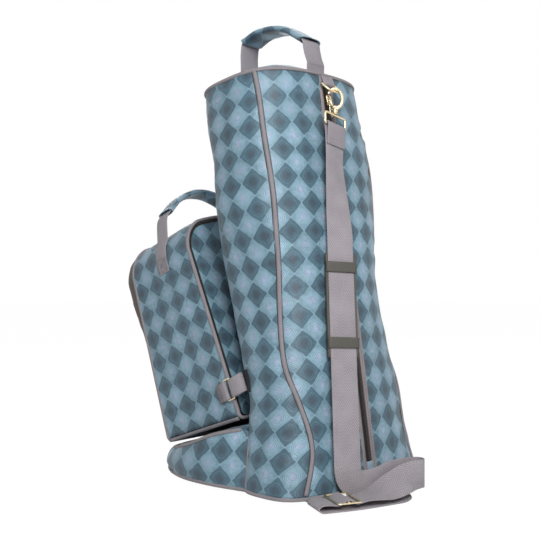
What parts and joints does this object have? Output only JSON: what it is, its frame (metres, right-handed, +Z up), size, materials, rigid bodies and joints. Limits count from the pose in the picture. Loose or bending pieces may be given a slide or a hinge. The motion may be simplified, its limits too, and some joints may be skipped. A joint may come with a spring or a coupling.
{
  "type": "boot bag",
  "caption": "Tall boot-shaped carry bag with back zip, top handle, clip-on shoulder strap with slide pad, and a tilting front pouch with its own handle.",
  "frame": {"origin": "bottom centre of the bounding box, on the floor", "axes": "+Z up; the toe points to -X; the zip and strap are on the +X side"},
  "size_m": [0.4728, 0.3228, 0.6606],
  "materials": {
    "black_rubber": "matt",
    "black_zip": "coil",
    "dark_panel": "woven",
    "gold_metal": "polished",
    "grey_piping": "cord",
    "lilac_webbing": "webbing",
    "olive_pad": "woven",
    "printed_fabric": "woven"
  },
  "bodies": {
    "top_handle": {"handle_leg_front": "lilac_webbing", "handle_leg_back": "lilac_webbing", "handle_grip": "printed_fabric"},
    "zip_slider": {"zip_slider": "gold_metal"},
    "zip_pull": {"zip_pull": "gold_metal"},
    "d_ring_top": {"d_ring_top": "gold_metal"},
    "hook_gate": {"hook_gate": "gold_metal"},
    "shoulder_pad": {"shoulder_pad": "olive_pad"},
    "pouch_handle": {"pouch_leg_near": "grey_piping", "pouch_leg_far": "grey_piping", "pouch_grip": "printed_fabric"},
    "pouch_slider": {"pouch_slider": "gold_metal"},
    "pouch_pull": {"pouch_pull": "gold_metal"},
    "pouch": {"clip_loop_far": "lilac_webbing", "clip_loop_near": "lilac_webbing", "clip_ring_far": "gold_metal", "clip_ring_near": "gold_metal", "clip_tab_far": "lilac_webbing", "clip_tab_near": "lilac_webbing", "pouch_back": "printed_fabric", "pouch_bottom": "dark_panel", "pouch_front": "dark_panel", "pouch_gusset": "printed_fabric", "pouch_piping_back": "grey_piping", "pouch_piping_far": "grey_piping", "pouch_piping_front": "grey_piping", "pouch_piping_near": "grey_piping", "pouch_zip": "black_zip"},
    "bag": {"back_panel_far": "printed_fabric", "back_panel_near": "printed_fabric", "base_board": "dark_panel", "base_piping": "grey_piping", "clip_patch_far": "black_zip", "clip_patch_near": "black_zip", "foot_heel_far": "black_rubber", "foot_heel_near": "black_rubber", "foot_toe_far": "black_rubber", "foot_toe_near": "black_rubber", "front_panel": "printed_fabric", "handle_anchor_back": "lilac_webbing", "handle_anchor_front": "lilac_webbing", "hook_eye": "gold_metal", "hook_top": "gold_metal", "rim_piping": "grey_piping", "ring_low": "gold_metal", "ring_tab_low": "lilac_webbing", "ring_tab_top": "lilac_webbing", "shoulder_strap": "lilac_webbing", "side_piping_far": "grey_piping", "side_piping_near": "grey_piping", "strap_adjuster": "gold_metal", "toe_piping": "grey_piping", "toe_top": "printed_fabric", "toe_wall": "printed_fabric", "top_panel": "printed_fabric", "zip_binding_far": "grey_piping", "zip_binding_near": "grey_piping", "zip_chain": "black_zip", "zip_garage": "grey_piping"}
  },
  "joints": [
    {"name": "top_handle_swing", "type": "hinge", "parent": "bag", "child": "top_handle", "pos_m": [-0.07304, 0, 0.57794], "axis": [0.9914, 0, 0.1308], "range_deg": [-20, 20]},
    {"name": "zip_slide", "type": "slide", "parent": "bag", "child": "zip_slider", "axis": [0.1471, 0, -0.9891], "range_m": [0, 0.485]},
    {"name": "zip_pull_swing", "type": "hinge", "parent": "zip_slider", "child": "zip_pull", "pos_m": [0.08803, 0, 0.54584], "axis": [0, -1, 0], "range_deg": [0, 9]},
    {"name": "d_ring_swing", "type": "hinge", "parent": "bag", "child": "d_ring_top", "pos_m": [0.08364, 0, 0.56921], "axis": [0, 1, 0], "range_deg": [0, 9]},
    {"name": "hook_gate_turn", "type": "hinge", "parent": "bag", "child": "hook_gate", "pos_m": [0.09826, -0.00581, 0.53335], "axis": [-0.5888, 0.776, -0.2259], "range_deg": [0, 18], "stiffness_Nm_per_rad": 0.02, "springref_deg": -11.46},
    {"name": "pad_slide", "type": "slide", "parent": "bag", "child": "shoulder_pad", "axis": [-0.1458, 0.1324, 0.9804], "range_m": [-0.1, 0.006]},
    {"name": "pouch_tilt", "type": "hinge", "parent": "bag", "child": "pouch", "pos_m": [0.03574, 0, 0.14967], "axis": [0, 1, 0], "range_deg": [0, 5]},
    {"name": "pouch_handle_swing", "type": "hinge", "parent": "pouch", "child": "pouch_handle", "pos_m": [-0.15304, 0, 0.32976], "axis": [0, 1, 0], "range_deg": [-25, 25]},
    {"name": "pouch_zip_slide", "type": "slide", "parent": "pouch", "child": "pouch_slider", "axis": [-0.4159, 0, 0.9094], "range_m": [0, 0.14]},
    {"name": "pouch_pull_swing", "type": "hinge", "parent": "pouch_slider", "child": "pouch_pull", "pos_m": [-0.01107, 0.1099, 0.17555], "axis": [0, -1, 0], "range_deg": [0, 60]}
  ]
}
